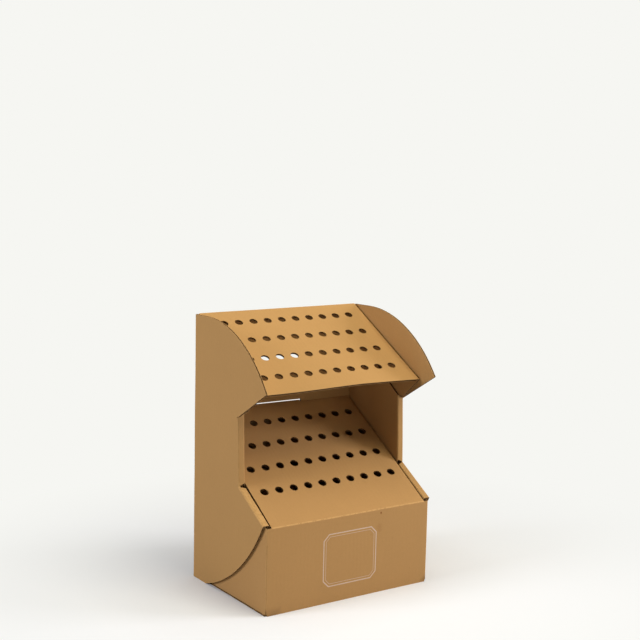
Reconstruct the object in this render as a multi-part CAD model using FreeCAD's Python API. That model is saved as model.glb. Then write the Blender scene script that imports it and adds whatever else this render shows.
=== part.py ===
import FreeCAD, Part
import math
import os

from FreeCAD import Vector

# Countertop display stand folded from two die-cut blanks of single-wall corrugated board:
# a base tray with a sloping perforated shelf, and an outer sleeve with the back, the two side
# wings with their roll-over posts, and a second perforated shelf right above the first.
# Millimetres. X runs across the stand, Y runs to the back, Z is up, and the origin is on the
# floor under the middle of the stand's bounding box.

# Board and folds
BOARD = 2.8
FOLD_RADIUS = 2.2
LAYER_CLEARANCE = 0.2
EDGE_CLEARANCE = 0.3

# Outside sizes, with the height measured to the sharp fold line along the top of the back
WIDTH = 293.0
DEPTH = 228.0
HEIGHT = 412.6
BACK_LEAN_ANGLE = 2.4

# Side wing outline, with set-backs measured from the visor's tip. The visor's tip and the
# post's top are measured from the upper shelf's front edge, the post's foot from the lower shelf
WING_TOP_DROP = 2.6
VISOR_TIP_RISE = 7.0
VISOR_CREST_SETBACK = 172.5
POST_SETBACK = 80.0
POST_TOP_DROP = 37.0
POST_FOOT_DROP = 0.3
POST_TOP_MITRE = 5.0
POST_FOOT_MITRE = 4.5
SILL_SLOPE_ANGLE = 31.2
SILL_FRONT_SETBACK = 11.5
SILL_TOP_MITRE = 4.0
BELLY_FLOOR_SETBACK = 185.8
BELLY_SAG = 20.7

# Inner layer of the side walls
INNER_WALL_TOP_ANGLE = 36.0
INNER_WALL_TUCK = 13.0
SILL_TUCK_DEPTH = 28.0
SILL_TUCK_TAPER = 9.3

# Shelves: ten columns of shaft holes in four rows, the lower rows straight below the upper ones
HOLE_DIAMETER = 12.8
HOLE_COLUMNS = 10
HOLE_ROWS = 4
COLUMN_PITCH = 25.0
ROW_PITCH = 39.06
FRONT_ROW_SETBACK = 65.5
UPPER_SLOPE_ANGLE = 29.7
UPPER_EDGE_MARGIN = 33.0
LOWER_SLOPE_ANGLE = 32.6
LOWER_ROW_HEIGHT = 164.0
LOWER_EDGE_GAP = 2.2

# Flaps that hang from the upper shelf into the double side walls
FLAP_EDGE_ANGLE = 38.6
FLAP_TUCK = 21.0

# Back panel cut-outs
HAND_HOLE_WIDTH = 84.0
HAND_HOLE_HEIGHT = 24.0
HAND_HOLE_DROP = 77.6
LOCK_WIDTH = 84.0
LOCK_SIDE_CLEARANCE = 1.0
LOCK_TOP_CLEARANCE = 1.8

# Base tray
WING_GAP = 2.1
FRONT_SETBACK = 8.5
FRONT_LEAN_ANGLE = 2.2
BOTTOM_FLAP = 60.0
CORNER_RELIEF = 3.0

# Layers across one side wall, from the outside in
half_width = WIDTH / 2
wing_inside = half_width - BOARD
middle_outside = wing_inside - WING_GAP
middle_inside = middle_outside - BOARD
inner_outside = middle_inside - LAYER_CLEARANCE
inner_inside = inner_outside - BOARD
shelf_half = inner_inside - LOWER_EDGE_GAP

tip_y = -DEPTH / 2
floor_back_y = DEPTH / 2
post_y = tip_y + POST_SETBACK
sill_front_y = tip_y + SILL_FRONT_SETBACK
front_row_y = tip_y + FRONT_ROW_SETBACK
upper_front_y = front_row_y - UPPER_EDGE_MARGIN


def tangent(degrees):
    return math.tan(math.radians(degrees))


def upright_board(slope):
    """Height of a sloping board's section, measured straight up."""
    return BOARD / math.cos(math.radians(slope))


def back_outside(z):
    return floor_back_y - z * tangent(BACK_LEAN_ANGLE)


def back_inside(z):
    return back_outside(z) - upright_board(BACK_LEAN_ANGLE)


def near_back(z):
    return back_inside(z) - EDGE_CLEARANCE


def upper_top(y):
    return HEIGHT + (y - back_outside(HEIGHT)) * tangent(UPPER_SLOPE_ANGLE)


def upper_under(y):
    return upper_top(y) - upright_board(UPPER_SLOPE_ANGLE)


def lower_top(y):
    return LOWER_ROW_HEIGHT + (y - front_row_y) * tangent(LOWER_SLOPE_ANGLE)


def lower_under(y):
    return lower_top(y) - upright_board(LOWER_SLOPE_ANGLE)


wing_height = HEIGHT - WING_TOP_DROP
visor_tip_height = upper_top(upper_front_y) + VISOR_TIP_RISE
post_top_height = upper_top(upper_front_y) - POST_TOP_DROP
post_foot_height = lower_top(post_y) - POST_FOOT_DROP
front_fold_height = lower_top(tip_y + FRONT_SETBACK)


def sill_top(y):
    return post_foot_height + (y - post_y) * tangent(SILL_SLOPE_ANGLE)


def meet(height_at, surface):
    """Y and Z where a sloping surface reaches a near-upright one, such as the back panel."""
    y = surface(0)
    for _ in range(20):
        y = surface(height_at(y))
    return y, height_at(y)


def point(y, z):
    return Vector(0, y, z)


def prism(edges, x_from, x_to):
    """Solid between two X planes, from a closed outline drawn in the YZ plane."""
    face = Part.Face(Part.Wire(edges))
    face.translate(Vector(x_from, 0, 0))
    return face.extrude(Vector(x_to - x_from, 0, 0))


def outline(corners):
    points = [point(y, z) for y, z in corners]
    following = points[1:] + points[:1]
    return [Part.makeLine(a, b) for a, b in zip(points, following)]


def plate(corners, x_from, x_to):
    return prism(outline(corners), x_from, x_to)


def both_sides(shape):
    return [shape, shape.mirror(Vector(0, 0, 0), Vector(1, 0, 0))]


def round_folds(shape, lines):
    """Round the outer edge of each fold, given as pairs of points on its line."""
    near = FOLD_RADIUS / 200
    chosen = []
    for edge in shape.Edges:
        ends = [vertex.Point for vertex in edge.Vertexes]
        for start, end in lines:
            axis = (end - start).normalize()
            offsets = [(p - start) - axis * (p - start).dot(axis) for p in ends]
            if len(ends) == 2 and max(o.Length for o in offsets) < near:
                chosen.append(edge)
                break
    return shape.makeFillet(FOLD_RADIUS, chosen)


def shaft_holes(height_at, slope):
    """Cutters for one shelf's holes, square to its board."""
    lean = math.radians(slope)
    up = Vector(0, -math.sin(lean), math.cos(lean))
    reach = 2 * BOARD
    cutters = []
    for row in range(HOLE_ROWS):
        y = front_row_y + row * ROW_PITCH
        for column in range(HOLE_COLUMNS):
            x = (column - (HOLE_COLUMNS - 1) / 2) * COLUMN_PITCH
            foot = Vector(x, y, height_at(y)) - up * (reach + BOARD / 2)
            cutters.append(Part.makeCylinder(HOLE_DIAMETER / 2, 2 * reach + BOARD / 2, foot, up))
    return cutters


def side_wing():
    """Outer layer of one side, with the visor above the window and the rounded belly below."""
    crest_y = tip_y + VISOR_CREST_SETBACK
    run, rise = crest_y - tip_y, wing_height - visor_tip_height
    radius = (run ** 2 + rise ** 2) / (2 * rise)
    half_turn = math.atan2(rise, run)
    visor_mid = point(crest_y - radius * math.sin(half_turn),
                      wing_height - radius * (1 - math.cos(half_turn)))
    tip = point(tip_y, visor_tip_height)
    crest = point(crest_y, wing_height)

    sill_end = point(sill_front_y, sill_top(sill_front_y))
    belly_end = point(tip_y + BELLY_FLOOR_SETBACK, 0)
    chord = belly_end - sill_end
    outward = Vector(0, chord.z, -chord.y).normalize()
    belly_mid = (sill_end + belly_end) * 0.5 + outward * BELLY_SAG

    top_back = point(back_outside(wing_height), wing_height)
    floor_back = point(floor_back_y, 0)
    post_foot, post_top = point(post_y, post_foot_height), point(post_y, post_top_height)
    edges = [
        Part.makeLine(belly_end, floor_back),
        Part.makeLine(floor_back, top_back),
        Part.makeLine(top_back, crest),
        Part.Arc(crest, visor_mid, tip).toShape(),
        Part.makeLine(tip, post_top),
        Part.makeLine(post_top, post_foot),
        Part.makeLine(post_foot, sill_end),
        Part.Arc(sill_end, belly_mid, belly_end).toShape(),
    ]
    return prism(edges, wing_inside, half_width)


def mitred_post():
    """Upright strip that rolls over from the wing's front edge to the inner wall."""
    corners = [
        Vector(half_width, post_y, post_foot_height),
        Vector(half_width, post_y, post_top_height),
        Vector(inner_inside, post_y, post_top_height + POST_TOP_MITRE),
        Vector(inner_inside, post_y, post_foot_height + POST_FOOT_MITRE),
    ]
    return Part.Face(Part.makePolygon(corners + corners[:1])).extrude(Vector(0, BOARD, 0))


def inner_wall():
    """Inner layer beside the display window, from the post back to the back panel."""
    foot = post_foot_height + POST_FOOT_MITRE
    top = post_top_height + POST_TOP_MITRE

    def tucked_edge(y):
        return lower_top(y) - INNER_WALL_TUCK

    def top_edge(y):
        return top + (y - post_y) * tangent(INNER_WALL_TOP_ANGLE)

    corners = [
        (post_y, foot),
        (post_y + 2 * BOARD, tucked_edge(post_y + 2 * BOARD)),
        meet(tucked_edge, near_back),
        meet(top_edge, near_back),
        (post_y, top),
    ]
    return plate(corners, inner_inside, inner_outside)


def sill_strip():
    """Sloping strip that rolls over the tray's side wall beside the lower shelf."""
    back_y = post_y - SILL_TOP_MITRE
    corners = [
        Vector(half_width, sill_front_y, sill_top(sill_front_y)),
        Vector(half_width, post_y, sill_top(post_y)),
        Vector(inner_inside, back_y, sill_top(back_y)),
        Vector(inner_inside, sill_front_y, sill_top(sill_front_y)),
    ]
    lean = math.radians(SILL_SLOPE_ANGLE)
    down = Vector(0, math.sin(lean), -math.cos(lean)) * BOARD
    return Part.Face(Part.makePolygon(corners + corners[:1])).extrude(down)


def sill_tuck():
    """Flap at the strip's inner edge, tucked down beside the lower shelf."""
    back_y = post_y - SILL_TOP_MITRE
    front_y = sill_front_y + SILL_TUCK_TAPER
    tuck_back_y = back_y - SILL_TUCK_TAPER
    corners = [
        (sill_front_y, sill_top(sill_front_y)),
        (front_y, sill_top(front_y) - SILL_TUCK_DEPTH),
        (tuck_back_y, sill_top(tuck_back_y) - SILL_TUCK_DEPTH),
        (back_y, sill_top(back_y)),
    ]
    return plate(corners, inner_inside, inner_outside)


def fold_root(under, inside):
    """Height just below a shelf's fold, from where the upright panel is part of the shelf's piece."""
    return meet(under, inside)[1] - BOARD


def above(height, half):
    """Cutter that takes the top off an upright panel, to make room for a rounded fold."""
    return Part.makeBox(2 * half, DEPTH, HEIGHT, Vector(-half, -DEPTH / 2, height))


def upper_shelf():
    """Perforated shelf folded forward from the top of the back panel."""
    lean = math.radians(UPPER_SLOPE_ANGLE)
    front_top = (upper_front_y, upper_top(upper_front_y))
    front_under = (front_top[0] + BOARD * math.sin(lean), front_top[1] - BOARD * math.cos(lean))
    crown = (back_outside(HEIGHT), HEIGHT)
    armpit = meet(upper_under, back_inside)
    root = fold_root(upper_under, back_inside)
    corners = [front_top, front_under, armpit, (back_inside(root), root),
               (back_outside(root), root), crown]
    board = plate(corners, -middle_outside, middle_outside)
    crown_line = [Vector(x, *crown) for x in (-middle_outside, middle_outside)]
    board = round_folds(board, [crown_line])
    board = board.fuse(both_sides(shelf_flap(front_under)))
    side_lines = [[Vector(x, *front_top), Vector(x, *crown)]
                  for x in (-middle_outside, middle_outside)]
    board = round_folds(board.removeSplitter(), side_lines)
    return board.cut(shaft_holes(upper_top, UPPER_SLOPE_ANGLE))


def shelf_flap(front_under):
    """Side flap of the upper shelf, locked behind the post between the wing's two layers."""
    shoulder = post_top_height + POST_TOP_MITRE + EDGE_CLEARANCE
    behind_post = post_y + BOARD + EDGE_CLEARANCE
    drop = front_under[1] - shoulder

    def tucked_edge(y):
        return shoulder - FLAP_TUCK + (y - behind_post) * tangent(UPPER_SLOPE_ANGLE)

    def underside(y):
        return upper_top(y) - upright_board(UPPER_SLOPE_ANGLE) / 2

    corners = [
        (front_under[0], underside(front_under[0])),
        front_under,
        (front_under[0] + drop / tangent(FLAP_EDGE_ANGLE), shoulder),
        (behind_post, shoulder),
        (behind_post, tucked_edge(behind_post)),
        meet(tucked_edge, near_back),
        meet(underside, near_back),
    ]
    return plate(corners, middle_inside, middle_outside)


def hand_hole():
    """Cutter for the carrying slot with round ends, high in the back panel."""
    radius = HAND_HOLE_HEIGHT / 2
    reach = HAND_HOLE_WIDTH / 2 - radius
    centre = HEIGHT - HAND_HOLE_DROP
    start = back_inside(centre) - 2 * BOARD
    depth = 5 * BOARD
    along = Vector(0, 1, 0)
    ends = [Part.makeCylinder(radius, depth, Vector(x, start, centre), along)
            for x in (-reach, reach)]
    middle = Part.makeBox(2 * reach, depth, HAND_HOLE_HEIGHT,
                          Vector(-reach, start, centre - radius))
    return middle.fuse(ends)


def lock_slot():
    """Cutter for the slot in the back panel that takes the lower shelf's tongue."""
    under = meet(lower_under, back_inside)
    over = meet(lower_top, back_outside)
    low, high = under[1] - EDGE_CLEARANCE, over[1] + LOCK_TOP_CLEARANCE
    return Part.makeBox(LOCK_WIDTH, 5 * BOARD, high - low,
                        Vector(-LOCK_WIDTH / 2, under[0] - 2 * BOARD, low))


def outer_sleeve():
    """Back, wings, posts, sills, inner walls and upper shelf, all one folded blank."""
    top_back = (back_outside(wing_height), wing_height)
    back = plate([(floor_back_y, 0), top_back,
                  (back_inside(wing_height), wing_height), (back_inside(0), 0)],
                 -half_width, half_width)
    back = back.cut(above(fold_root(upper_under, back_inside), middle_outside))
    shell = back.fuse(both_sides(side_wing())).removeSplitter()
    back_folds = [[Vector(x, floor_back_y, 0), Vector(x, *top_back)]
                  for x in (-half_width, half_width)]
    shell = round_folds(shell, back_folds)

    trims = both_sides(mitred_post()) + both_sides(sill_strip())
    liners = both_sides(inner_wall()) + both_sides(sill_tuck())
    shell = shell.fuse(trims + liners).removeSplitter()
    back_y = post_y - SILL_TOP_MITRE
    folds = []
    for side in (-1, 1):
        outer, inner = side * half_width, side * inner_inside
        folds += [
            [Vector(outer, post_y, post_foot_height), Vector(outer, post_y, post_top_height)],
            [Vector(inner, post_y, post_foot_height), Vector(inner, post_y, post_top_height)],
            [Vector(outer, sill_front_y, sill_top(sill_front_y)),
             Vector(outer, post_y, sill_top(post_y))],
            [Vector(inner, sill_front_y, sill_top(sill_front_y)),
             Vector(inner, back_y, sill_top(back_y))],
        ]
    shell = round_folds(shell, folds)
    shell = shell.fuse(upper_shelf()).removeSplitter()
    return shell.cut([hand_hole(), lock_slot()])


def front_outside(z):
    return tip_y + FRONT_SETBACK + (front_fold_height - z) * tangent(FRONT_LEAN_ANGLE)


def front_inside(z):
    return front_outside(z) + upright_board(FRONT_LEAN_ANGLE)


def tray_walls():
    """Front panel and both side walls, with the upright folds between them."""
    front = plate([(front_outside(0), 0), (front_outside(front_fold_height), front_fold_height),
                   (front_inside(front_fold_height), front_fold_height), (front_inside(0), 0)],
                  -middle_outside, middle_outside)
    front = front.cut(above(fold_root(lower_under, front_inside), shelf_half))

    def under_sill(y):
        return sill_top(y) - upright_board(SILL_SLOPE_ANGLE) - EDGE_CLEARANCE

    foot = BOARD + LAYER_CLEARANCE
    front_top = meet(under_sill, front_outside)
    side = plate([(front_outside(foot), foot), front_top,
                  meet(under_sill, near_back), (near_back(foot), foot)],
                 middle_inside, middle_outside)
    walls = front.fuse(both_sides(side)).removeSplitter()
    folds = [[Vector(x, front_outside(0), 0), Vector(x, *front_top)]
             for x in (-middle_outside, middle_outside)]
    return round_folds(walls, folds)


def tray_floor():
    """Bottom panel, and the side walls' flaps that lie on it."""
    back_y = back_inside(0) - EDGE_CLEARANCE
    flap_y = back_inside(2 * BOARD + LAYER_CLEARANCE) - 2 * EDGE_CLEARANCE
    bottom = plate([(front_outside(0), 0), (front_outside(BOARD), BOARD),
                    (back_y, BOARD), (back_y, 0)], -middle_outside, middle_outside)
    front_fold = [Vector(x, front_outside(0), 0) for x in (-middle_outside, middle_outside)]
    bottom = round_folds(bottom, [front_fold])
    low = BOARD + LAYER_CLEARANCE
    high = low + BOARD
    front_y = front_inside(low) + 2 * EDGE_CLEARANCE
    flap = plate([(front_y, low), (front_y, high), (flap_y, high), (flap_y, low)],
                 middle_outside - BOTTOM_FLAP, middle_outside)
    return bottom, both_sides(flap)


def lower_shelf():
    """Perforated shelf folded back from the top of the front panel, with its locking tongue."""
    tongue_half = LOCK_WIDTH / 2 - LOCK_SIDE_CLEARANCE

    fold = (front_outside(front_fold_height), front_fold_height)
    armpit = meet(lower_under, front_inside)
    root = fold_root(lower_under, front_inside)
    board = plate([fold, meet(lower_top, near_back), meet(lower_under, near_back),
                   armpit, (front_inside(root), root), (front_outside(root), root)],
                  -shelf_half, shelf_half)
    board = round_folds(board, [[Vector(x, *fold) for x in (-shelf_half, shelf_half)]])
    start_y = near_back(front_fold_height) - 5 * BOARD
    tongue = plate([(start_y, lower_top(start_y)), meet(lower_top, back_outside),
                    meet(lower_under, back_outside), (start_y, lower_under(start_y))],
                   -tongue_half, tongue_half)
    return board.fuse(tongue).removeSplitter().cut(shaft_holes(lower_top, LOWER_SLOPE_ANGLE))


def corner_relief():
    """Cutter for the nick where the front, side and bottom folds meet."""
    return Part.makeBox(CORNER_RELIEF, 2 * CORNER_RELIEF, BOARD + LAYER_CLEARANCE,
                        Vector(middle_outside - CORNER_RELIEF, front_outside(0) - CORNER_RELIEF, 0))


def base_tray():
    """Front, bottom, side walls and lower shelf, all one folded blank."""
    bottom, flaps = tray_floor()
    tray = tray_walls().fuse([bottom] + flaps).removeSplitter()
    tray = tray.cut(both_sides(corner_relief()))
    return tray.fuse(lower_shelf()).removeSplitter()


os.makedirs("parts", exist_ok=True)
nodes = {"outer_sleeve": outer_sleeve(), "base_tray": base_tray()}
for name, shape in nodes.items():
    print(name, "solids", len(shape.Solids), "valid", shape.isValid(),
          "volume cm3", round(shape.Volume / 1000, 1))
    shape.exportStep("parts/" + name + ".step")
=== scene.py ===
import bmesh
import bpy
import math
from mathutils import Euler, Matrix, Vector, noise


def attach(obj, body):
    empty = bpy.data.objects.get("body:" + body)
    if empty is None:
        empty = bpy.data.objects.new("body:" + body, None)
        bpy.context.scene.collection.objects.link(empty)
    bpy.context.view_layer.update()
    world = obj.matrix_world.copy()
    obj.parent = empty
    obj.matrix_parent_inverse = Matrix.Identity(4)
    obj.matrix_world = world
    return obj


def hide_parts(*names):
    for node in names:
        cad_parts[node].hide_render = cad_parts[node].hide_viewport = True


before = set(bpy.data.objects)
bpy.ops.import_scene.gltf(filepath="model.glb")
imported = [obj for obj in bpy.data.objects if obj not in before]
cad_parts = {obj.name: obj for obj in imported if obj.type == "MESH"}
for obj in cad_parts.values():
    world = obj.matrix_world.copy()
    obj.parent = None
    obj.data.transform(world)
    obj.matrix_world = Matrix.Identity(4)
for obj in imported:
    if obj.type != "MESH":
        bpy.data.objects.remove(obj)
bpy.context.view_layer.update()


# The outer sleeve. One die-cut blank of single-wall kraft board, two paper liners on a wavy medium:
# the back, two wings that roll over into double side walls, and the upper shelf, folded forward from
# the back's top. It is scored, folded and held by its own flaps, and its cut edges show the waves.
BOARD = 0.0028
LINER = 0.0004
EDGE_RECESS = 0.0011
FLUTE_PITCH = 0.0065
PAPER, CUT_LINER, CHANNEL_SHADE, PUNCHED = range(4)


def srgb(red, green, blue):
    """A colour as a paint chart gives it, 0 to 255, in the linear values that shaders take."""
    def linear(value):
        value /= 255
        return value / 12.92 if value <= 0.04045 else ((value + 0.055) / 1.055) ** 2.4
    return (linear(red), linear(green), linear(blue), 1.0)


KRAFT = srgb(173, 134, 86)
MIX_FACTOR, MIX_FIRST, MIX_SECOND, MIX_RESULT = 0, 6, 7, 2


class Wiring:
    """Adds nodes to a node tree and joins them, one call for each node."""

    def __init__(self, tree):
        self.tree = tree

    def feed(self, target, value):
        """Sets a socket to a plain value, or links another node's output to it."""
        if isinstance(value, bpy.types.NodeSocket):
            self.tree.links.new(value, target)
        else:
            target.default_value = value

    def node(self, kind, feeds=(), **settings):
        made = self.tree.nodes.new(kind)
        for name, value in settings.items():
            setattr(made, name, value)
        for socket, value in dict(feeds).items():
            self.feed(made.inputs[socket], value)
        return made

    def math(self, operation, *values):
        return self.node("ShaderNodeMath", dict(enumerate(values)), operation=operation).outputs[0]

    def scaled(self, vector, size):
        return self.node("ShaderNodeVectorMath", {0: vector, "Scale": size},
                         operation="SCALE").outputs[0]

    def varied(self, value, amount, base):
        """The base, shifted by a value that swings around one half."""
        return self.math("MULTIPLY_ADD", self.math("SUBTRACT", value, 0.5), amount, base)

    def wave(self, run, pitch):
        """A sine wave of the given pitch along a run."""
        turns = self.math("DIVIDE", run, pitch)
        return self.math("SINE", self.math("MULTIPLY", turns, 2 * math.pi))

    def ramp(self, value, low, high, to_low=0.0, to_high=1.0):
        feeds = {"Value": value, "From Min": low, "From Max": high, "To Min": to_low,
                 "To Max": to_high}
        return self.node("ShaderNodeMapRange", feeds, interpolation_type="SMOOTHSTEP").outputs[0]

    def noise(self, vector, scale, detail=2.0, roughness=0.5):
        feeds = {"Vector": vector, "Scale": scale, "Detail": detail, "Roughness": roughness}
        return self.node("ShaderNodeTexNoise", feeds).outputs["Fac"]

    def mix(self, factor, first, second):
        made = self.node("ShaderNodeMix", data_type="RGBA")
        self.feed(made.inputs[MIX_FACTOR], factor)
        self.feed(made.inputs[MIX_FIRST], first)
        self.feed(made.inputs[MIX_SECOND], second)
        return made.outputs[MIX_RESULT]

    def place(self):
        return self.node("ShaderNodeTexCoord").outputs["Object"]


def group(name, inputs, outputs):
    """An empty shader node group, its wiring, and the sockets of its input and output nodes."""
    tree = bpy.data.node_groups.new(name, "ShaderNodeTree")
    for label, kind, value in inputs:
        tree.interface.new_socket(label, in_out="INPUT", socket_type=kind).default_value = value
    for label, kind in outputs:
        tree.interface.new_socket(label, in_out="OUTPUT", socket_type=kind)
    wires = Wiring(tree)
    return tree, wires, wires.node("NodeGroupInput").outputs, wires.node("NodeGroupOutput").inputs


CLOUD_SCALE, PULP_SCALE, FIBRE_SCALE, FIBRE_STRETCH = 17.0, 240.0, 1900.0, 0.14
PULP_SHADE, FIBRE_SHADE, WAVE_SHADE = 0.10, 0.12, 0.008
SPECK_SCALE, SPECK_PATCH_SCALE, SPECK_DARKNESS = 420.0, 95.0, 0.45


def kraft_fibre_group():
    """Recycled kraft paper: cloudy pulp, fine fibres, dark specks and the waves showing through."""
    tree, wires, given, out = group(
        "kraft_fibre",
        [("Tone", "NodeSocketColor", KRAFT),
         ("Flute Run", "NodeSocketFloat", 0.0), ("Flute Pitch", "NodeSocketFloat", FLUTE_PITCH),
         ("Cloud", "NodeSocketFloat", 0.06), ("Specks", "NodeSocketFloat", 0.35)],
        [("Color", "NodeSocketColor"), ("Roughness", "NodeSocketFloat"),
         ("Height", "NodeSocketFloat")])
    place = wires.place()
    cloud = wires.noise(place, CLOUD_SCALE, 3.0, 0.55)
    pulp = wires.noise(place, PULP_SCALE, 4.0, 0.65)
    stretched = wires.node("ShaderNodeMapping", {"Vector": place,
                                                 "Scale": (1.0, 1.0, FIBRE_STRETCH)}).outputs[0]
    fibre = wires.noise(stretched, FIBRE_SCALE, 2.0, 0.6)
    showing = wires.ramp(wires.noise(place, 31.0), 0.35, 0.7)
    wave = wires.math("MULTIPLY", wires.wave(given["Flute Run"], given["Flute Pitch"]), showing)

    light = wires.varied(cloud, given["Cloud"], 1.0)
    light = wires.varied(pulp, PULP_SHADE, light)
    light = wires.varied(fibre, FIBRE_SHADE, light)
    light = wires.math("MULTIPLY_ADD", wave, WAVE_SHADE, light)
    scatter = wires.node("ShaderNodeTexVoronoi", {"Vector": stretched,
                                                  "Scale": SPECK_SCALE}).outputs["Distance"]
    patches = wires.ramp(wires.noise(place, SPECK_PATCH_SCALE, 1.0), 0.60, 0.70)
    speck = wires.math("MULTIPLY", wires.ramp(scatter, 0.16, 0.10), patches)
    speck = wires.math("MULTIPLY", speck, given["Specks"])
    tone = wires.scaled(given["Tone"], light)
    dark = wires.scaled(given["Tone"], SPECK_DARKNESS)
    wires.feed(out["Color"], wires.mix(speck, tone, dark))
    wires.feed(out["Roughness"], wires.math("MULTIPLY_ADD", pulp, 0.16, 0.74))
    height = wires.math("MULTIPLY_ADD", fibre, 0.25, wires.math("MULTIPLY", wave, 0.35))
    wires.feed(out["Height"], wires.math("MULTIPLY_ADD", pulp, 0.35, height))
    return tree


# The pale tint of scuffed liner, also used as a painted highlight on upright folds.
SCUFF_AND_HIGHLIGHT_TINT = (1.34, 1.38, 1.42)


def crease_wear_and_highlight_group():
    """A broken pale line on a crease: scuffed liner, and on upright folds a painted highlight."""
    tree, wires, given, out = group(
        "crease_wear_and_highlight",
        [("Color", "NodeSocketColor", KRAFT), ("Fold", "NodeSocketFloat", 0.0),
         ("Strength", "NodeSocketFloat", 0.3)],
        [("Color", "NodeSocketColor")])
    broken = wires.ramp(wires.noise(wires.place(), 160.0, 4.0, 0.7), 0.34, 0.52)
    mask = wires.math("MULTIPLY", wires.math("MULTIPLY", broken, given["Fold"]), given["Strength"])
    pale = wires.node("ShaderNodeVectorMath", {0: given["Color"], 1: SCUFF_AND_HIGHLIGHT_TINT},
                      operation="MULTIPLY").outputs[0]
    wires.feed(out["Color"], wires.mix(mask, given["Color"], pale))
    return tree


kraft_fibre = kraft_fibre_group()
crease_wear_and_highlight = crease_wear_and_highlight_group()
PAPER_RELIEF = 0.00006


def paper_material(name, tone, fold_strength, marks=()):
    """Brown kraft paper, with the fibre and crease groups in front of one Principled shader."""
    material = bpy.data.materials.new(name)
    material.use_nodes = True
    wires = Wiring(material.node_tree)
    shader = material.node_tree.nodes["Principled BSDF"]
    run = wires.node("ShaderNodeAttribute", attribute_name="flute_run").outputs["Fac"]
    fold = wires.node("ShaderNodeAttribute", attribute_name="fold").outputs["Fac"]
    paper = wires.node("ShaderNodeGroup", {"Tone": tone, "Flute Run": run},
                       node_tree=kraft_fibre).outputs
    colour = wires.node("ShaderNodeGroup", {"Color": paper["Color"], "Fold": fold,
                                            "Strength": fold_strength},
                        node_tree=crease_wear_and_highlight).outputs["Color"]
    for mark in marks:
        colour = wires.node("ShaderNodeGroup", {"Color": colour}, node_tree=mark).outputs["Color"]
    raised = wires.node("ShaderNodeBump", {"Height": paper["Height"], "Strength": 1.0,
                                           "Distance": PAPER_RELIEF}).outputs[0]
    wires.feed(shader.inputs["Base Color"], colour)
    wires.feed(shader.inputs["Roughness"], paper["Roughness"])
    wires.feed(shader.inputs["Normal"], raised)
    shader.inputs["Specular IOR Level"].default_value = 0.1
    return material


cut_liner = paper_material("cut_liner_edge", srgb(182, 146, 101), 0.0)
# The sunk middle of each cut edge is dark brown: painted shade deep in the flute channels.
channel_shade_paint = paper_material("painted_channel_shade", srgb(84, 59, 33), 0.0)
fluted_medium = paper_material("fluted_medium", srgb(152, 116, 76), 0.0)
# Hole rims are painted darker than the other cut edges: painted shade inside the holes.
punched_rim_shade = paper_material("punched_rim_painted_shade", srgb(112, 82, 50), 0.0)
EDGE_MATERIALS = [cut_liner, channel_shade_paint, punched_rim_shade]

SMALL_STEP = math.radians(35)
SHARED_POINT = 2e-6
WIDEST_CUT, SHORTEST_CUT = 1.2 * BOARD, 1.6 * BOARD
LARGEST_HOLE, HOLE_FACES = 0.016, 20


def closed_skin(node):
    """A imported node's loose triangles joined to one skin, ready to be cut and bent."""
    skin = bmesh.new()
    skin.from_mesh(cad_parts[node].data)
    bmesh.ops.remove_doubles(skin, verts=skin.verts, dist=SHARED_POINT)
    bmesh.ops.dissolve_degenerate(skin, edges=skin.edges, dist=SHARED_POINT)
    return skin


def turn_at(edge):
    return edge.calc_face_angle(math.pi) if len(edge.link_faces) == 2 else math.pi


def mark_cut_edges(skin):
    """Finds the cut edges of the board: smooth stretches that are only a board's thickness wide."""
    seen = set()
    for first in skin.faces:
        if first in seen:
            continue
        stretch, waiting = [], [first]
        seen.add(first)
        while waiting:
            face = waiting.pop()
            stretch.append(face)
            for edge in face.edges:
                if turn_at(edge) < SMALL_STEP:
                    for other in edge.link_faces:
                        if other not in seen:
                            seen.add(other)
                            waiting.append(other)
        rim = sum(e.calc_length() for f in stretch for e in f.edges if turn_at(e) >= SMALL_STEP)
        width = 2 * sum(f.calc_area() for f in stretch) / rim
        corners = [v.co for f in stretch for v in f.verts]
        spread = max(max(c[axis] for c in corners) - min(c[axis] for c in corners)
                     for axis in range(3))
        kind = PUNCHED if spread < LARGEST_HOLE and len(stretch) > HOLE_FACES else CUT_LINER
        if width > WIDEST_CUT or spread < SHORTEST_CUT:
            kind = PAPER
        for face in stretch:
            face.material_index = kind


FOLD_WIDTH, LEAST_FOLD_TURN = 0.6 * BOARD, math.radians(3)
# On upright folds the pale line is a painted highlight that lifts the rounded corner's shade; on the
# other folds it is scuffed liner.
UPRIGHT_SHARE, UPRIGHT_PAINTED_HIGHLIGHT, FULL_WEAR = 0.9, 0.35, 1.0


def mark_folds(skin):
    """Tags the narrow bent faces along each rounded crease, the upright ones more weakly."""
    fold = skin.faces.layers.float.new("fold")
    for face in skin.faces:
        longest = max(edge.calc_length() for edge in face.edges)
        upright = any(abs(edge.verts[0].co.z - edge.verts[1].co.z) > UPRIGHT_SHARE * longest
                      for edge in face.edges)
        bent = any(LEAST_FOLD_TURN < turn_at(edge) < SMALL_STEP for edge in face.edges)
        narrow = face.calc_area() / longest < FOLD_WIDTH
        if face.material_index == PAPER and bent and narrow:
            face[fold] = UPRIGHT_PAINTED_HIGHLIGHT if upright else FULL_WEAR


WALL_LAYER, LAYER_SLACK = (0.1388, 0.1416), 1e-4
SLANT_UP, SLANT_FORWARD = 0.869, 0.495


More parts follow.
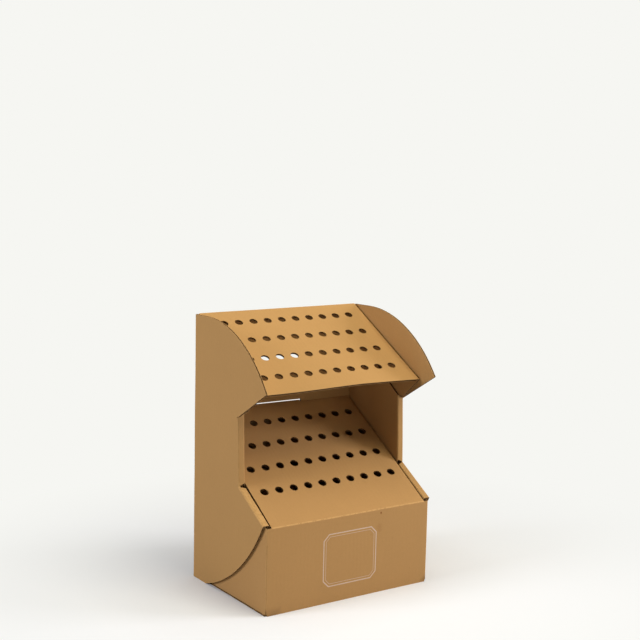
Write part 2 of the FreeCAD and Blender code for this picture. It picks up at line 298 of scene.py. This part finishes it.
def panel_run(place, normal, slanted_layer):
    """Distance across the waves at a point of a panel.

    The waves run upright in the front, back and sides, and from front to back in the shelves and
    the bottom. In the layer between wing and inner wall they can follow the upper shelf's slope.
    """
    in_side_wall = abs(place.x) > WALL_LAYER[0] - BOARD
    in_layer = WALL_LAYER[0] - LAYER_SLACK < abs(place.x) < WALL_LAYER[1] + LAYER_SLACK
    if abs(normal.x) > 0.7 and slanted_layer and in_layer:
        return place.z * SLANT_UP - place.y * SLANT_FORWARD
    if abs(normal.x) > 0.7 or (in_side_wall and abs(normal.z) > 0.5):
        return place.y
    return place.x


NEAREST_SIDE = Vector((1.0, 0.35, 0.6))
LEAST_CROSSING, MOST_CROSSING, SQUARE_ENOUGH = 0.7 * BOARD, 1.6 * BOARD, 0.75


def edge_lines(skin):
    """Lines along the middle of each cut edge, with the directions that the waves follow."""
    lines = bmesh.new()
    across = lines.verts.layers.float_vector.new("across")
    outward = lines.verts.layers.float_vector.new("outward")
    run = lines.verts.layers.float.new("run")
    made = {}

    def middle(edge, normal, facing):
        point = (edge.verts[0].co + edge.verts[1].co) / 2
        if edge not in made:
            vert = lines.verts.new(point)
            vert[across], vert[outward] = normal, facing
            vert[run] = panel_run(point, normal, True)
            made[edge] = vert
        else:
            made[edge][outward] = (Vector(made[edge][outward]) + facing).normalized()
        return made[edge]

    def crosses_board(edge, normal):
        along = edge.verts[1].co - edge.verts[0].co
        return (LEAST_CROSSING < along.length < MOST_CROSSING
                and abs(along.normalized().dot(normal)) > SQUARE_ENOUGH)

    for face in skin.faces:
        if face.material_index == PAPER:
            continue
        paper = [f for e in face.edges for f in e.link_faces if f.material_index == PAPER]
        if not paper:
            continue
        normal = max(paper, key=lambda f: f.calc_area()).normal.copy()
        if normal.dot(NEAREST_SIDE) < 0:
            normal.negate()
        ends = [edge for edge in face.edges if crosses_board(edge, normal)]
        if len(ends) == 2:
            pair = [middle(edge, normal, face.normal) for edge in ends]
            if lines.edges.get(pair) is None:
                lines.edges.new(pair)
    return lines


FLAT_TURN = 0.01
RECESS_TAPER = LINER / 20


def open_cut_edges(skin):
    """Sinks the middle of each cut edge between its two liners."""
    flat = [e for e in skin.edges if turn_at(e) < FLAT_TURN
            and all(f.material_index != PAPER for f in e.link_faces)]
    bmesh.ops.dissolve_edges(skin, edges=flat, use_verts=False)
    lines = edge_lines(skin)
    cut = [f for f in skin.faces if f.material_index != PAPER]
    bmesh.ops.inset_region(skin, faces=cut, thickness=LINER, use_even_offset=False,
                           use_boundary=True)
    walls = bmesh.ops.inset_region(skin, faces=cut, thickness=RECESS_TAPER, depth=-EDGE_RECESS,
                                   use_even_offset=False, use_boundary=True)["faces"]
    # The sunk faces carry the painted shade of the flute channels.
    for face in cut + walls:
        face.material_index = CHANNEL_SHADE
    return lines


def add_grid(skin, step):
    """Cuts the skin along a grid, so that its panels can bend."""
    low = [min(v.co[axis] for v in skin.verts) for axis in range(3)]
    high = [max(v.co[axis] for v in skin.verts) for axis in range(3)]
    for axis in range(3):
        normal = Vector([float(axis == other) for other in range(3)])
        for number in range(1, int((high[axis] - low[axis]) / step) + 1):
            everything = skin.verts[:] + skin.edges[:] + skin.faces[:]
            bmesh.ops.bisect_plane(skin, geom=everything, plane_no=normal,
                                   plane_co=normal * (low[axis] + number * step))


WARP, WARP_SIZE, WARP_SEED, FREE_HEIGHT = 0.0007, 0.13, 2, 0.05
SHELF_Y, SHELF_Z, SHELF_SLOPE = -0.0485, 0.3298, math.radians(29.7)
BELOW_SHELF, ABOVE_SHELF = 0.006, 0.001
BOW_START_Y, BOW_LENGTH, BOW_TO_RIGHT = 0.06, 0.14, 0.75


noise.seed_set(WARP_SEED)


def clamped(value):
    return max(0.0, min(1.0, value))


def relaxed(place, shelf_bow):
    """Where a point of the board lies once the folded stand has settled out of true.

    Every panel warps a little, though what rests on the table stays on it. The upper shelf bows up
    towards its front edge, more on the right than on the left.
    """
    drift = noise.noise_vector(place / WARP_SIZE) * WARP
    drift.z *= min(1.0, place.z / FREE_HEIGHT)
    moved = place + drift
    from_shelf = place.z - (SHELF_Z + (place.y - SHELF_Y) * math.tan(SHELF_SLOPE))
    side = place.x / WALL_LAYER[0]
    if shelf_bow and -BELOW_SHELF < from_shelf < ABOVE_SHELF and abs(side) < 1:
        crown = (1 - side * side) * clamped(BOW_TO_RIGHT + side)
        ahead = clamped((BOW_START_Y - place.y) / BOW_LENGTH)
        moved.z += shelf_bow * crown * ahead * ahead
    return moved


FLAT_PANEL, SHARP_EDGE = math.radians(0.5), math.radians(40)
GRID_STEP = 0.014


def board_piece(name, skin, materials, shelf_bow):
    """The bent skin as an object at the origin, with the run across its waves on every corner."""
    bmesh.ops.dissolve_limit(skin, angle_limit=FLAT_PANEL, verts=skin.verts, edges=skin.edges,
                             delimit={"MATERIAL"})
    add_grid(skin, GRID_STEP)
    run = skin.loops.layers.float.new("flute_run")
    for face in skin.faces:
        for loop in face.loops:
            loop[run] = panel_run(loop.vert.co, face.normal, bool(shelf_bow))
    for vert in skin.verts:
        vert.co = relaxed(vert.co, shelf_bow)
    mesh = bpy.data.meshes.new(name)
    skin.to_mesh(mesh)
    skin.free()
    for material in materials:
        mesh.materials.append(material)
    mesh.shade_smooth()
    mesh.set_sharp_from_angle(angle=SHARP_EDGE)
    piece = bpy.data.objects.new(name, mesh)
    bpy.context.scene.collection.objects.link(piece)
    flat_panels = piece.modifiers.new("flat_panels", "WEIGHTED_NORMAL")
    flat_panels.keep_sharp = True
    graph = bpy.context.evaluated_depsgraph_get()
    finished = bpy.data.meshes.new_from_object(piece.evaluated_get(graph),
                                               preserve_all_data_layers=True, depsgraph=graph)
    piece.modifiers.clear()
    piece.data = finished
    bpy.data.meshes.remove(mesh)
    finished.name = name
    return piece


def wave_tree():
    """Geometry Nodes that stand the wavy medium up along the middle line of each cut edge."""
    tree = bpy.data.node_groups.new("edge_waves", "GeometryNodeTree")
    face = tree.interface
    face.new_socket("Geometry", in_out="INPUT", socket_type="NodeSocketGeometry")
    for label, value in (("Pitch", FLUTE_PITCH), ("Swing", 0.00082), ("Depth", 0.0010),
                         ("Setback", 0.0001), ("Paper", 0.00022), ("Spacing", 0.0008)):
        face.new_socket(label, in_out="INPUT", socket_type="NodeSocketFloat").default_value = value
    face.new_socket("Material", in_out="INPUT", socket_type="NodeSocketMaterial")
    face.new_socket("Geometry", in_out="OUTPUT", socket_type="NodeSocketGeometry")
    wires = Wiring(tree)
    given = wires.node("NodeGroupInput").outputs

    def attribute(name, kind):
        return wires.node("GeometryNodeInputNamedAttribute", {"Name": name},
                          data_type=kind).outputs[0]

    across, outward = attribute("across", "FLOAT_VECTOR"), attribute("outward", "FLOAT_VECTOR")
    swing = wires.math("MULTIPLY", wires.wave(attribute("run", "FLOAT"), given["Pitch"]),
                       given["Swing"])
    inward = wires.math("MULTIPLY", given["Setback"], -1.0)
    shift = wires.node("ShaderNodeVectorMath", {0: wires.scaled(across, swing),
                                                1: wires.scaled(outward, inward)},
                       operation="ADD").outputs[0]
    curve = wires.node("GeometryNodeMeshToCurve", {"Mesh": given["Geometry"]}).outputs[0]
    even = wires.node("GeometryNodeResampleCurve", {"Curve": curve, "Length": given["Spacing"]},
                      mode="LENGTH").outputs[0]
    waved = wires.node("GeometryNodeSetPosition", {"Geometry": even, "Offset": shift}).outputs[0]
    line = wires.node("GeometryNodeCurveToMesh", {"Curve": waved}).outputs[0]
    sunk = wires.scaled(outward, wires.math("MULTIPLY", given["Depth"], -1.0))
    ribbon = wires.node("GeometryNodeExtrudeMesh", {"Mesh": line, "Offset": sunk,
                                                    "Offset Scale": 1.0}, mode="EDGES").outputs[0]
    thick = wires.node("GeometryNodeExtrudeMesh", {"Mesh": ribbon, "Offset Scale": given["Paper"],
                                                   "Individual": False}, mode="FACES").outputs[0]
    back = wires.node("GeometryNodeFlipFaces", {"Mesh": ribbon}).outputs[0]
    both = wires.node("GeometryNodeJoinGeometry")
    wires.feed(both.inputs[0], thick)
    wires.feed(both.inputs[0], back)
    welded = wires.node("GeometryNodeMergeByDistance", {"Geometry": both.outputs[0],
                                                        "Distance": SHARED_POINT}).outputs[0]
    real = wires.node("GeometryNodeRealizeInstances", {"Geometry": welded}).outputs[0]
    done = wires.node("GeometryNodeSetMaterial", {"Geometry": real,
                                                  "Material": given["Material"]}).outputs[0]
    wires.feed(wires.node("NodeGroupOutput").inputs[0], done)
    return tree


edge_waves = wave_tree()


def wave_piece(name, lines, shelf_bow):
    """The medium's waves along all cut edges of one blank, as a plain mesh."""
    mesh = bpy.data.meshes.new(name + "_lines")
    lines.to_mesh(mesh)
    lines.free()
    guide = bpy.data.objects.new(name + "_lines", mesh)
    bpy.context.scene.collection.objects.link(guide)
    modifier = guide.modifiers.new("waves", "NODES")
    modifier.node_group = edge_waves
    for item in edge_waves.interface.items_tree:
        if item.in_out == "INPUT" and item.name == "Material":
            modifier[item.identifier] = fluted_medium
    graph = bpy.context.evaluated_depsgraph_get()
    waves = bpy.data.meshes.new_from_object(guide.evaluated_get(graph))
    guide.modifiers.clear()
    bpy.data.objects.remove(guide)
    waves.name = name
    for vert in waves.vertices:
        vert.co = relaxed(vert.co, shelf_bow)
    piece = bpy.data.objects.new(name, waves)
    bpy.context.scene.collection.objects.link(piece)
    return piece


def blank_pieces(node, paper, shelf_bow):
    """One folded blank, dressed: its board, and the waves in the board's cut edges."""
    skin = closed_skin(node)
    mark_cut_edges(skin)
    mark_folds(skin)
    lines = open_cut_edges(skin)
    board = board_piece(node + "_board", skin, [paper] + EDGE_MATERIALS, shelf_bow)
    return board, wave_piece(node + "_fluting", lines, shelf_bow)


SHELF_BOW = 0.0022
sleeve_paper = paper_material("sleeve_kraft_liner", KRAFT, 0.5)
sleeve, sleeve_waves = blank_pieces("outer_sleeve", sleeve_paper, SHELF_BOW)
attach(sleeve, "root")
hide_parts("outer_sleeve")
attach(sleeve_waves, "root")


# The base tray. One die-cut blank of the same board: front, bottom, side walls and the lower shelf,
# which folds back from the front's top and locks with a tongue in the back panel. The front carries
# a plain printed frame of two pale rules, a brown spot and a smudge.
NO_BOW = 0.0
FRONT_FOLD_Y, FRONT_FOLD_Z = -0.1055, 0.12755
FRONT_LEAN = math.radians(2.2)
ON_FACE, OFF_FACE = 0.0013, 0.0016
PRINT_SIZE, PRINT_MIDDLE, PRINT_CORNER = (0.092, 0.078), 0.064, 0.009
PALE_INK, INK_EDGE = srgb(203, 181, 168), 0.00012


def on_front_panel(wires):
    """Object coordinates, whole and in parts, and a mask for the front panel's outer face."""
    place = wires.place()
    parts = wires.node("ShaderNodeSeparateXYZ", {"Vector": place}).outputs
    face = wires.math("MULTIPLY_ADD", wires.math("SUBTRACT", FRONT_FOLD_Z, parts["Z"]),
                      math.tan(FRONT_LEAN), FRONT_FOLD_Y)
    depth = wires.math("ABSOLUTE", wires.math("SUBTRACT", parts["Y"], face))
    return place, parts, wires.ramp(depth, OFF_FACE, ON_FACE)


# Each rule's distance inside the frame's outline, and its thickness
PRINT_RULES = ((0.0, 0.0016), (0.0038, 0.0006))


def printed_frame_group():
    """A plain frame of one thick and one thin rule in pale ink, with its corners cut off."""
    tree, wires, given, out = group(
        "printed_frame",
        [("Color", "NodeSocketColor", KRAFT), ("Ink", "NodeSocketColor", PALE_INK),
         ("Cover", "NodeSocketFloat", 0.85)],
        [("Color", "NodeSocketColor")])
    place, parts, panel = on_front_panel(wires)
    across = wires.math("ABSOLUTE", parts["X"])
    up = wires.math("ABSOLUTE", wires.math("SUBTRACT", parts["Z"], PRINT_MIDDLE))
    width, height = PRINT_SIZE[0] / 2, PRINT_SIZE[1] / 2
    straight = wires.math("MAXIMUM", wires.math("SUBTRACT", across, width),
                          wires.math("SUBTRACT", up, height))
    slant = wires.math("MULTIPLY", wires.math("SUBTRACT", wires.math("ADD", across, up),
                                              width + height - PRINT_CORNER), math.sqrt(0.5))
    outside = wires.math("MAXIMUM", straight, slant)
    inked = 0.0
    for inset, thickness in PRINT_RULES:
        away = wires.math("ABSOLUTE", wires.math("ADD", outside, inset))
        rule = wires.ramp(away, thickness / 2 + INK_EDGE, thickness / 2 - INK_EDGE)
        inked = wires.math("MAXIMUM", inked, rule)
    worn = wires.ramp(wires.noise(place, 900.0, 3.0, 0.7), 0.28, 0.5, 0.55, 1.0)
    mask = wires.math("MULTIPLY", wires.math("MULTIPLY", inked, panel),
                      wires.math("MULTIPLY", worn, given["Cover"]))
    wires.feed(out["Color"], wires.mix(mask, given["Color"], given["Ink"]))
    return tree


# Each mark's place across and up, its half width and half height, and how much it darkens
SPOTS = ((0.0540, 0.1213, 0.0014, 0.0018, 0.80), (0.0515, 0.0990, 0.0050, 0.0075, 0.12))


def spot_group():
    """One small brown spot and one faint smudge that the front panel picked up in use."""
    tree, wires, given, out = group(
        "spots",
        [("Color", "NodeSocketColor", KRAFT), ("Stain", "NodeSocketColor", srgb(112, 56, 28))],
        [("Color", "NodeSocketColor")])
    place, parts, panel = on_front_panel(wires)
    ragged = wires.math("SUBTRACT", wires.noise(place, 420.0, 3.0), 0.5)
    mask = 0.0
    for x, z, wide, high, darkness in SPOTS:
        side = wires.math("DIVIDE", wires.math("SUBTRACT", parts["X"], x), wide)
        rise = wires.math("DIVIDE", wires.math("SUBTRACT", parts["Z"], z), high)
        away = wires.math("SQRT", wires.math("ADD", wires.math("MULTIPLY", side, side),
                                             wires.math("MULTIPLY", rise, rise)))
        away = wires.math("MULTIPLY_ADD", ragged, 1.2, away)
        mask = wires.math("MAXIMUM", mask, wires.ramp(away, 1.25, 0.5, 0.0, darkness))
    mask = wires.math("MULTIPLY", mask, panel)
    wires.feed(out["Color"], wires.mix(mask, given["Color"], given["Stain"]))
    return tree


tray_paper = paper_material("tray_kraft_liner", srgb(173, 133, 86), 0.8,
                            (printed_frame_group(), spot_group()))
tray, tray_waves = blank_pieces("base_tray", tray_paper, NO_BOW)
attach(tray, "root")
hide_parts("base_tray")
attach(tray_waves, "root")


# The studio. A pale seamless sheet under the stand that fades into the backdrop, two soft boxes
# above it, one low on its left and one in front, and the camera at the photograph's place.
BACKDROP, AMBIENT = srgb(246, 246, 242), 0.03
FLOOR_TONE, FLOOR_BOUNCE = srgb(226, 229, 241), srgb(206, 208, 214)
FLOOR_REACH, FADE_START, FADE_END = 6.0, 0.12, 0.75


def looked_at(wires):
    """One where the camera sees a surface straight, in a reflection or through glass."""
    path = wires.node("ShaderNodeLightPath").outputs
    return wires.math("MAXIMUM", path["Is Camera Ray"],
                      wires.math("MAXIMUM", path["Is Glossy Ray"], path["Is Transmission Ray"]))


def studio_floor():
    mesh = bpy.data.meshes.new("studio_floor")
    corners = [(x * FLOOR_REACH, y * FLOOR_REACH, 0) for x, y in ((-1, -1), (1, -1), (1, 1), (-1, 1))]
    mesh.from_pydata(corners, [], [(0, 1, 2, 3)])
    floor = bpy.data.objects.new("studio_floor", mesh)
    bpy.context.scene.collection.objects.link(floor)
    material = bpy.data.materials.new("studio_paper")
    material.use_nodes = True
    nodes = material.node_tree.nodes
    wires = Wiring(material.node_tree)
    shader = nodes["Principled BSDF"]
    place = wires.place()
    lighter = wires.varied(wires.noise(place, 60.0, 3.0), 0.01, 1.0)
    seen = looked_at(wires)
    tone = wires.scaled(wires.mix(seen, FLOOR_BOUNCE, FLOOR_TONE), lighter)
    wires.feed(shader.inputs["Base Color"], tone)
    shader.inputs["Roughness"].default_value = 0.9
    shader.inputs["Specular IOR Level"].default_value = 0.0
    glow = wires.node("ShaderNodeEmission", {"Color": BACKDROP, "Strength": 1.0}).outputs[0]
    away = wires.node("ShaderNodeVectorMath", {0: place}, operation="LENGTH").outputs["Value"]
    fade = wires.math("MULTIPLY", wires.ramp(away, FADE_START, FADE_END), seen)
    mixed = wires.node("ShaderNodeMixShader", {0: fade, 1: shader.outputs[0], 2: glow})
    wires.feed(nodes["Material Output"].inputs["Surface"], mixed.outputs[0])
    mesh.materials.append(material)


def studio_world():
    world = bpy.data.worlds.new("studio_backdrop")
    bpy.context.scene.world = world
    world.use_nodes = True
    wires = Wiring(world.node_tree)
    colour = wires.mix(looked_at(wires), (AMBIENT, AMBIENT, AMBIENT, 1.0), BACKDROP)
    wires.feed(world.node_tree.nodes["Background"].inputs["Color"], colour)


STAND_MIDDLE = Vector((0, 0, 0.2))


def soft_box(name, place, size, watts, colour):
    """A square soft box aimed at the stand's middle."""
    lamp = bpy.data.lights.new(name, "AREA")
    lamp.shape, lamp.size, lamp.energy, lamp.color = "SQUARE", size, watts, colour
    box = bpy.data.objects.new(name, lamp)
    bpy.context.scene.collection.objects.link(box)
    box.location = place
    box.rotation_euler = (STAND_MIDDLE - Vector(place)).to_track_quat("-Z", "Y").to_euler()


studio_floor()
studio_world()
soft_box("overhead_soft_box", (0.0, 0.0, 2.2), 1.4, 24, (1.0, 0.95, 0.76))
soft_box("key_soft_box", (0.3, -1.1, 2.0), 1.0, 22.5, (1.0, 0.95, 0.72))
soft_box("left_soft_box", (-2.15, 0.25, 1.1), 1.0, 30, (1.0, 1.0, 1.0))
soft_box("front_soft_box", (2.2, -1.55, 0.9), 1.0, 53, (1.0, 0.97, 0.98))

LENS_MM, SENSOR_MM = 66.1, 36.0
EYE = (-0.9388, -1.47951, 0.59923)
YAW, PITCH, ROLL = 32.777, 6.441, 0.062
eye = bpy.data.objects.new("camera", bpy.data.cameras.new("camera"))
bpy.context.scene.collection.objects.link(eye)
eye.data.lens, eye.data.sensor_width = LENS_MM, SENSOR_MM
eye.location = EYE
aim = Euler((math.radians(90 - PITCH), 0, math.radians(-YAW))).to_matrix()
eye.rotation_euler = (aim @ Matrix.Rotation(math.radians(ROLL), 3, "Z")).to_euler()
bpy.context.scene.camera = eye
bpy.context.scene.view_settings.view_transform = "Standard"
